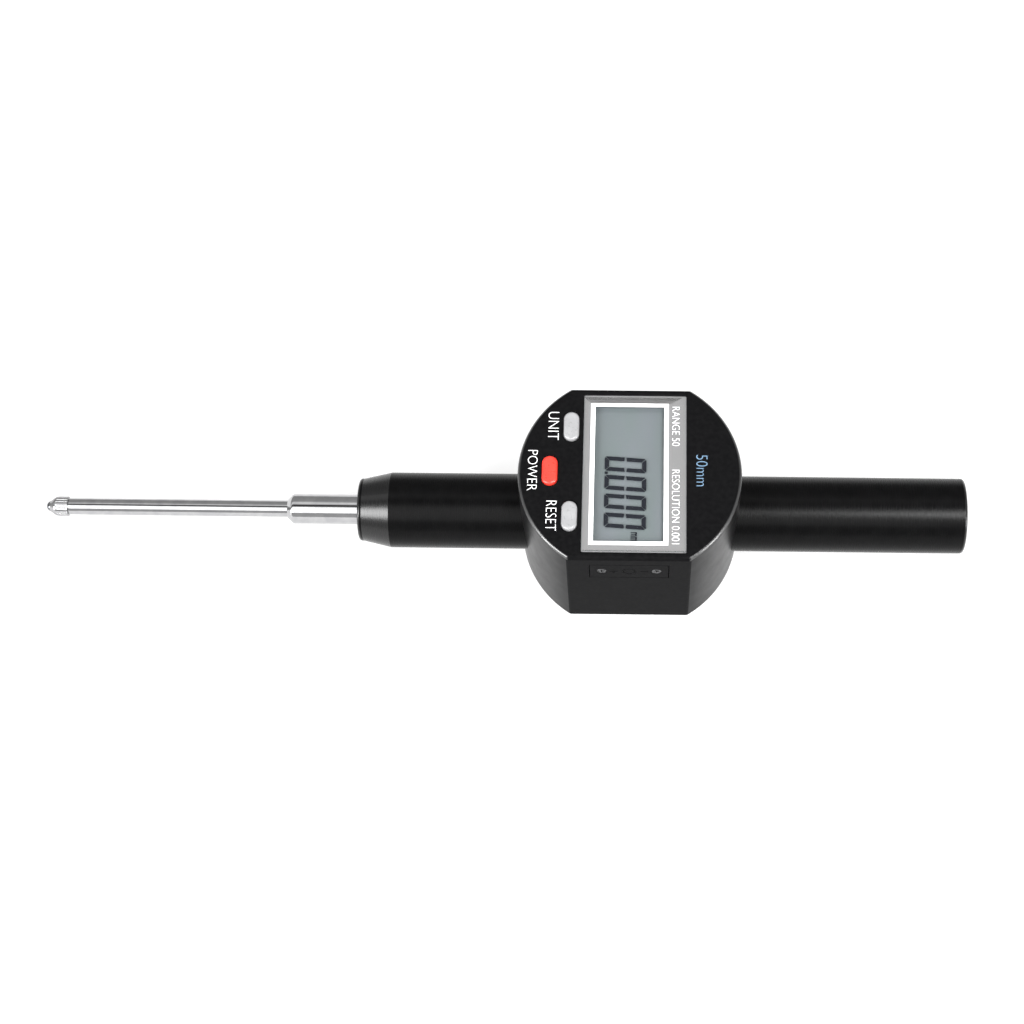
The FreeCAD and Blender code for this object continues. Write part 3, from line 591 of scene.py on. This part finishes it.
def printing(materials):
    """Generic words and figures on the face, the label and the display."""
    white, blue = white_print(), pale_blue_print()
    on_face, on_label = FACE_Z, film_high.z + LABEL_PRINT_LIFT
    captions = (
        ("print_unit", "UNIT", (-19.9, 13.2), (2.75, 8.1), on_face, white, FACE_WEIGHT),
        ("print_power", "POWER", (-25.0, 0.35), (2.5, 11.5), on_face, white, FACE_WEIGHT),
        ("print_zero", "RESET", (-19.9, -12.45), (2.7, 8.4), on_face, white, FACE_WEIGHT),
        ("print_range", "RANGE 50", (11.8, 13.64), (1.95, 11.4), on_label, white, LABEL_WEIGHT),
        ("print_step", "RESOLUTION 0.001", (11.8, -9.36), (1.95, 20.9), on_label, white, LABEL_WEIGHT),
        ("print_travel", "50mm", (18.5, 0.8), (2.9, 8.9), on_face, blue, TRAVEL_WEIGHT),
    )
    for name, text, centre, size, z, ink, weight in captions:
        printed_text(name, text, centre, size, z, ink, weight)
    ink_z = lcd_high.z + SEGMENT_LIFT * MM
    printed_text("lcd_unit", "mm", (1.2, -17.3), (1.65, 2.5), ink_z, materials["lcd_ink"],
                 LCD_WEIGHT)


def return_coil(material):
    """Round wire wound between the carrier and the rear plug."""
    low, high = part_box("return_spring")
    radius = high.z - SPRING_WIRE
    start, end = low.x + SPRING_WIRE, high.x - SPRING_WIRE
    maker = bmesh.new()
    total = SPRING_TURNS * SPRING_STEPS
    rings = []
    for step in range(total + 1):
        angle = 2 * math.pi * step / SPRING_STEPS
        along = start + (end - start) * step / total
        centre = Vector((along, radius * math.cos(angle), radius * math.sin(angle)))
        outward = Vector((0, math.cos(angle), math.sin(angle)))
        ring = []
        for side in range(SPRING_SIDES):
            turn = 2 * math.pi * side / SPRING_SIDES
            offset = outward * math.cos(turn) + Vector((1, 0, 0)) * math.sin(turn)
            ring.append(maker.verts.new(centre + offset * SPRING_WIRE))
        rings.append(ring)
    for near, far in zip(rings, rings[1:]):
        for side in range(SPRING_SIDES):
            after = (side + 1) % SPRING_SIDES
            maker.faces.new((near[side], near[after], far[after], far[side]))
    maker.faces.new(list(reversed(rings[0])))
    maker.faces.new(rings[-1])
    coil = finished(maker, "return_coil")
    piece = mesh_piece("return_coil", coil, material, "housing")
    for polygon in piece.data.polygons:
        polygon.use_smooth = True
    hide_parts("return_spring")
    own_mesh(piece)


def dress_cad(materials):
    """Gives each CAD node the material of its slot, and the contact point one of its own."""
    for part in frame["record"]["subparts"]:
        node = frame["nodes"][part["node"]]
        node.data.materials.clear()
        node.data.materials.append(materials[part["material_slot"]])
    point = frame["nodes"]["contact_point"]
    point.data.materials.clear()
    point.data.materials.append(ground_steel())


# ---------------------------------------------------------------- studio

FLOOR_HALF = 12.0
FLOOR_GLOW = 0.80

# Softboxes: name, direction from the case, size across and along the height, radiance
LIGHT_DISTANCE = 0.9
SOFTBOXES = (
    ("left_bank", (-0.60, -0.48, 0.64), (0.34, 0.40), 18.0),
    ("right_bank", (0.36, -0.30, 0.88), (0.34, 0.26), 31.0),
    ("front_panel", (-0.10, -0.57, 0.82), (0.82, 0.72), 2.0),
    ("left_strip", (-0.85, -0.36, 0.28), (0.16, 0.36), 30.0),
    ("right_strip", (0.85, -0.36, 0.28), (0.16, 0.36), 30.0),
)

# Tent: brightness by the angle about X, as a fraction of a half turn from the front horizon
TENT_STOPS = (
    (0.0, 0.32), (0.12, 0.32), (0.20, 0.26), (0.46, 0.20), (0.49, 0.03), (0.53, 0.03),
    (0.56, 0.45), (0.60, 0.65), (0.65, 0.65), (0.70, 0.25), (0.87, 0.22), (1.0, 0.22),
)
TENT_STRENGTH = 2.0

# Camera: elevation and roll in degrees, place in mm from the middle of the face
CAMERA_ELEVATION = 64.93
CAMERA_ROLL = 0.64
CAMERA_PLACE = (2.45, -236.2, 481.1)
CAMERA_LENS = 73.48
CAMERA_SHIFT = -0.124


def add_floor():
    size = FLOOR_HALF
    mesh = bpy.data.meshes.new("floor")
    corners = [(-size, -size), (size, -size), (size, size), (-size, size)]
    mesh.from_pydata([(x, y, FLOOR_Z) for x, y in corners], [], [(0, 1, 2, 3)])
    floor = bpy.data.objects.new("floor", mesh)
    bpy.context.scene.collection.objects.link(floor)
    material = new_material("floor_white", (0.22, 0.22, 0.22), 0.6, specular=0.1)
    shader_of(material).inputs["Emission Color"].default_value = (1, 1, 1, 1)
    shader_of(material).inputs["Emission Strength"].default_value = FLOOR_GLOW
    mesh.materials.append(material)


def softbox(name, direction, size, radiance):
    """Rectangular light that faces the case from a direction; size is (across, along the height)."""
    data = bpy.data.lights.new(name, "AREA")
    data.shape = "RECTANGLE"
    data.size, data.size_y = size
    data.energy = radiance * math.pi * size[0] * size[1]
    light = bpy.data.objects.new(name, data)
    bpy.context.scene.collection.objects.link(light)
    towards = Vector(direction).normalized()
    place = Vector((CASE_X, 0, 0)) + towards * LIGHT_DISTANCE
    light.matrix_world = Matrix.Translation(place) @ towards.to_track_quat("Z", "Y").to_matrix().to_4x4()


def add_lights():
    for name, direction, size, radiance in SOFTBOXES:
        softbox(name, direction, size, radiance)


def add_world():
    """Soft tent whose brightness changes from the front horizon over the top to the back."""
    world = bpy.data.worlds.new("tent")
    world.use_nodes = True
    bpy.context.scene.world = world
    nodes, links = world.node_tree.nodes, world.node_tree.links
    where = nodes.new("ShaderNodeTexCoord")
    split = nodes.new("ShaderNodeSeparateXYZ")
    front = nodes.new("ShaderNodeMath")
    front.operation = "MULTIPLY"
    front.inputs[1].default_value = -1.0
    angle = nodes.new("ShaderNodeMath")
    angle.operation = "ARCTAN2"
    turn = nodes.new("ShaderNodeMath")
    turn.operation = "DIVIDE"
    turn.inputs[1].default_value = math.pi
    ramp = nodes.new("ShaderNodeValToRGB")
    elements = ramp.color_ramp.elements
    for _ in range(len(TENT_STOPS) - 2):
        elements.new(0.5)
    for element, (place, level) in zip(elements, TENT_STOPS):
        element.position = place
        element.color = (level, level, level, 1)
    links.new(where.outputs["Generated"], split.inputs["Vector"])
    links.new(split.outputs["Y"], front.inputs[0])
    links.new(split.outputs["Z"], angle.inputs[0])
    links.new(front.outputs["Value"], angle.inputs[1])
    links.new(angle.outputs["Value"], turn.inputs[0])
    links.new(turn.outputs["Value"], ramp.inputs["Fac"])
    links.new(ramp.outputs["Color"], nodes["Background"].inputs["Color"])
    nodes["Background"].inputs["Strength"].default_value = TENT_STRENGTH


def add_camera():
    """Looks down on the face from the near side, a little rolled."""
    data = bpy.data.cameras.new("camera")
    data.sensor_width = 36.0
    data.lens = CAMERA_LENS
    data.shift_x = CAMERA_SHIFT
    data.clip_start = 0.01
    camera = bpy.data.objects.new("camera", data)
    bpy.context.scene.collection.objects.link(camera)
    place = Vector((CASE_X, 0, FACE_Z)) + Vector(CAMERA_PLACE) * MM
    tilt = Matrix.Rotation(math.radians(90 - CAMERA_ELEVATION), 4, "X")
    roll = Matrix.Rotation(math.radians(CAMERA_ROLL), 4, "Z")
    camera.matrix_world = Matrix.Translation(place) @ tilt @ roll
    bpy.context.scene.camera = camera


def main():
    bpy.context.scene.view_settings.view_transform = "Standard"
    add_camera()
    add_world()
    add_floor()
    add_lights()
    materials = make_materials()
    materials["lcd_ink"] = lcd_ink()
    dress_cad(materials)
    label_layers(materials["label_silver"], white_print())
    lcd_figures(materials["lcd_ink"])
    printing(materials)
    return_coil(materials["spring_steel"])


main()
